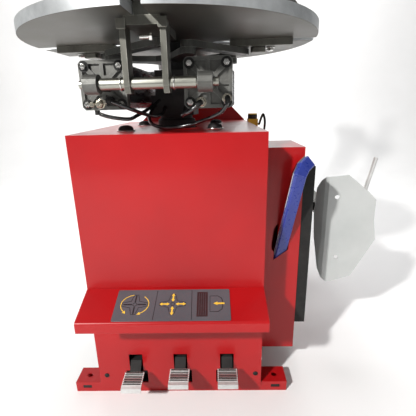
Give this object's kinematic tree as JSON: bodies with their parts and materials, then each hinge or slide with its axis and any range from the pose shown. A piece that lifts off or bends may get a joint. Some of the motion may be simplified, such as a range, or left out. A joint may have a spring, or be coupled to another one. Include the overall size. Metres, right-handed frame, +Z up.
{
  "type": "tire changer machine",
  "caption": "Car tire changer: cabinet with foot pedals, four-jaw air-clamped turntable, tilt-back column with mount head, and side bead breaker with blade and rubber pad.",
  "frame": {"origin": "centre of the bounding box's bottom face, on the floor", "axes": "+Z up, -Y towards the person at the pedals, +X to that person's right, where the bead breaker is"},
  "size_m": [0.8456, 0.9098, 1.64],
  "materials": {
    "red_paint": "gloss",
    "black_paint": "satin",
    "machined_steel": "satin",
    "dark_steel": "satin",
    "cast_aluminium": "cast, matt",
    "aluminium": "satin",
    "chrome": "polished",
    "gearbox_iron": "painted, matt",
    "rubber": "matt",
    "hose_black": "satin",
    "plate_grey": "satin",
    "blade_grey": "satin",
    "sleeve_blue": "satin",
    "unit_yellow": "gloss"
  },
  "bodies": {
    "cabinet": {"front_panel": "red_paint", "top_plate": "red_paint", "side_cover_left": "red_paint", "side_panel_right": "red_paint", "rear_panel": "red_paint", "foot_front": "red_paint", "foot_rear": "red_paint", "control_shelf": "red_paint", "control_plate": "plate_grey", "gearbox": "gearbox_iron", "pedal_frame": "black_paint", "column_base": "red_paint", "breaker_housing": "red_paint", "rubber_pad": "rubber", "breaker_cylinder": "aluminium", "breaker_bracket": "dark_steel", "air_unit": "unit_yellow", "air_unit_hose": "hose_black"},
    "pedal_left": {"pedal_arm_left": "black_paint", "pedal_pad_left": "aluminium"},
    "pedal_middle": {"pedal_arm_middle": "black_paint", "pedal_pad_middle": "aluminium"},
    "pedal_right": {"pedal_arm_right": "black_paint", "pedal_pad_right": "aluminium"},
    "turntable": {"table_disc": "machined_steel", "rotary_hub": "black_paint", "air_hose_left": "hose_black", "air_hose_right": "hose_black"},
    "jaw_front": {"slide_front": "dark_steel", "jaw_front": "cast_aluminium", "cross_shaft_front": "machined_steel", "cylinder_cover_left": "cast_aluminium", "cylinder_cover_right": "cast_aluminium", "cylinder_barrel_left": "aluminium", "cylinder_barrel_right": "aluminium"},
    "jaw_rear": {"slide_rear": "dark_steel", "jaw_rear": "cast_aluminium", "cross_shaft_rear": "machined_steel", "cylinder_rod_left": "chrome", "cylinder_rod_right": "chrome"},
    "jaw_left": {"slide_left": "dark_steel", "jaw_left": "cast_aluminium"},
    "jaw_right": {"slide_right": "dark_steel", "jaw_right": "cast_aluminium"},
    "cross_plate": {"cross_plate": "dark_steel"},
    "link_front": {"link_front": "dark_steel"},
    "link_right": {"link_right": "dark_steel"},
    "link_rear": {"link_rear": "dark_steel"},
    "link_left": {"link_left": "dark_steel"},
    "column": {"column": "red_paint"},
    "tool_arm": {"tool_arm": "red_paint"},
    "lock_lever": {"lock_lever": "black_paint"},
    "hex_shaft": {"hex_shaft": "machined_steel", "mount_head": "cast_aluminium"},
    "breaker_arm": {"breaker_arm": "dark_steel", "breaker_handle": "chrome"},
    "breaker_blade": {"breaker_blade": "blade_grey"},
    "breaker_rod": {"breaker_rod": "chrome"},
    "tyre_lever": {"lever_bar": "chrome", "lever_sleeve": "sleeve_blue"}
  },
  "joints": [
    {"name": "turntable_spin", "type": "hinge", "parent": "cabinet", "child": "turntable", "pos_m": [-0.09293, -0.12507, 0.83], "axis": [0, 0, 1], "continuous": true},
    {"name": "jaw_front_slide", "type": "slide", "parent": "turntable", "child": "jaw_front", "axis": [0.075, 0.9972, 0], "range_m": [-0.045, 0.03], "deforming": ["air_hose_left", "air_hose_right"]},
    {"name": "jaw_right_slide", "type": "slide", "parent": "turntable", "child": "jaw_right", "axis": [-0.9972, 0.075, 0], "range_m": [-0.046, 0.031]},
    {"name": "jaw_rear_slide", "type": "slide", "parent": "turntable", "child": "jaw_rear", "axis": [-0.075, -0.9972, 0], "range_m": [-0.046, 0.031]},
    {"name": "jaw_left_slide", "type": "slide", "parent": "turntable", "child": "jaw_left", "axis": [0.9972, -0.075, 0], "range_m": [-0.046, 0.031]},
    {"name": "cross_plate_turn", "type": "hinge", "parent": "turntable", "child": "cross_plate", "pos_m": [-0.09293, -0.12507, 0.7885], "axis": [0, 0, 1], "range_deg": [-9, 13.2]},
    {"name": "link_front_turn", "type": "hinge", "parent": "cross_plate", "child": "link_front", "pos_m": [-0.23136, -0.16822, 0.801], "axis": [0, 0, 1], "range_deg": [-20, 13.5]},
    {"name": "link_right_turn", "type": "hinge", "parent": "cross_plate", "child": "link_right", "pos_m": [-0.04978, -0.2635, 0.801], "axis": [0, 0, 1], "range_deg": [-20, 13.5]},
    {"name": "link_rear_turn", "type": "hinge", "parent": "cross_plate", "child": "link_rear", "pos_m": [0.0455, -0.08192, 0.801], "axis": [0, 0, 1], "range_deg": [-20, 13.5]},
    {"name": "link_left_turn", "type": "hinge", "parent": "cross_plate", "child": "link_left", "pos_m": [-0.13608, 0.01336, 0.801], "axis": [0, 0, 1], "range_deg": [-20, 13.5]},
    {"name": "column_tilt", "type": "hinge", "parent": "cabinet", "child": "column", "pos_m": [-0.07093, 0.30493, 0.57], "axis": [-1, 0, 0], "range_deg": [0, 25]},
    {"name": "arm_slide", "type": "slide", "parent": "column", "child": "tool_arm", "axis": [0, -1, 0], "range_m": [0, 0.15]},
    {"name": "hex_slide", "type": "slide", "parent": "tool_arm", "child": "hex_shaft", "axis": [0, 0, -1], "range_m": [-0.06, 0.06]},
    {"name": "lock_lever_turn", "type": "hinge", "parent": "tool_arm", "child": "lock_lever", "pos_m": [-0.02863, -0.00507, 1.41], "axis": [1, 0, 0], "range_deg": [0, 60]},
    {"name": "pedal_left_press", "type": "hinge", "parent": "cabinet", "child": "pedal_left", "pos_m": [-0.19893, -0.17507, 0.078], "axis": [1, 0, 0], "range_deg": [-3, 6], "stiffness_Nm_per_rad": 12, "springref_deg": -2.01},
    {"name": "pedal_middle_press", "type": "hinge", "parent": "cabinet", "child": "pedal_middle", "pos_m": [-0.08993, -0.17507, 0.078], "axis": [1, 0, 0], "range_deg": [0, 8], "stiffness_Nm_per_rad": 12, "springref_deg": -5.73},
    {"name": "pedal_right_press", "type": "hinge", "parent": "cabinet", "child": "pedal_right", "pos_m": [0.02307, -0.17507, 0.078], "axis": [1, 0, 0], "range_deg": [0, 8], "stiffness_Nm_per_rad": 12, "springref_deg": -5.73},
    {"name": "breaker_swing", "type": "hinge", "parent": "cabinet", "child": "breaker_arm", "pos_m": [0.33207, 0.28493, 0.376], "axis": [0, 0, 1], "range_deg": [-2, 20]},
    {"name": "breaker_rod_slide", "type": "slide", "parent": "cabinet", "child": "breaker_rod", "axis": [1, 0, 0], "range_m": [-0.009, 0.088]},
    {"name": "blade_swivel", "type": "hinge", "parent": "breaker_arm", "child": "breaker_blade", "pos_m": [0.34307, -0.15307, 0.376], "axis": [0, 0, 1], "range_deg": [-12, 12]},
    {"name": "lever_lift", "type": "slide", "parent": "cabinet", "child": "tyre_lever", "axis": [0.103, -0.2731, 0.9564], "range_m": [0, 0.2]}
  ],
  "couplings": [
    {"joint": "jaw_right_slide", "follows": "jaw_front_slide", "ratio": 1},
    {"joint": "jaw_rear_slide", "follows": "jaw_front_slide", "ratio": 1},
    {"joint": "jaw_left_slide", "follows": "jaw_front_slide", "ratio": 1},
    {"joint": "cross_plate_turn", "follows": "jaw_front_slide", "rad_per_m": -4.9295},
    {"joint": "link_front_turn", "follows": "jaw_front_slide", "rad_per_m": 7.5075},
    {"joint": "link_right_turn", "follows": "jaw_front_slide", "rad_per_m": 7.5075},
    {"joint": "link_rear_turn", "follows": "jaw_front_slide", "rad_per_m": 7.5075},
    {"joint": "link_left_turn", "follows": "jaw_front_slide", "rad_per_m": 7.5075},
    {"joint": "breaker_rod_slide", "follows": "breaker_swing", "m_per_rad": 0.25}
  ]
}
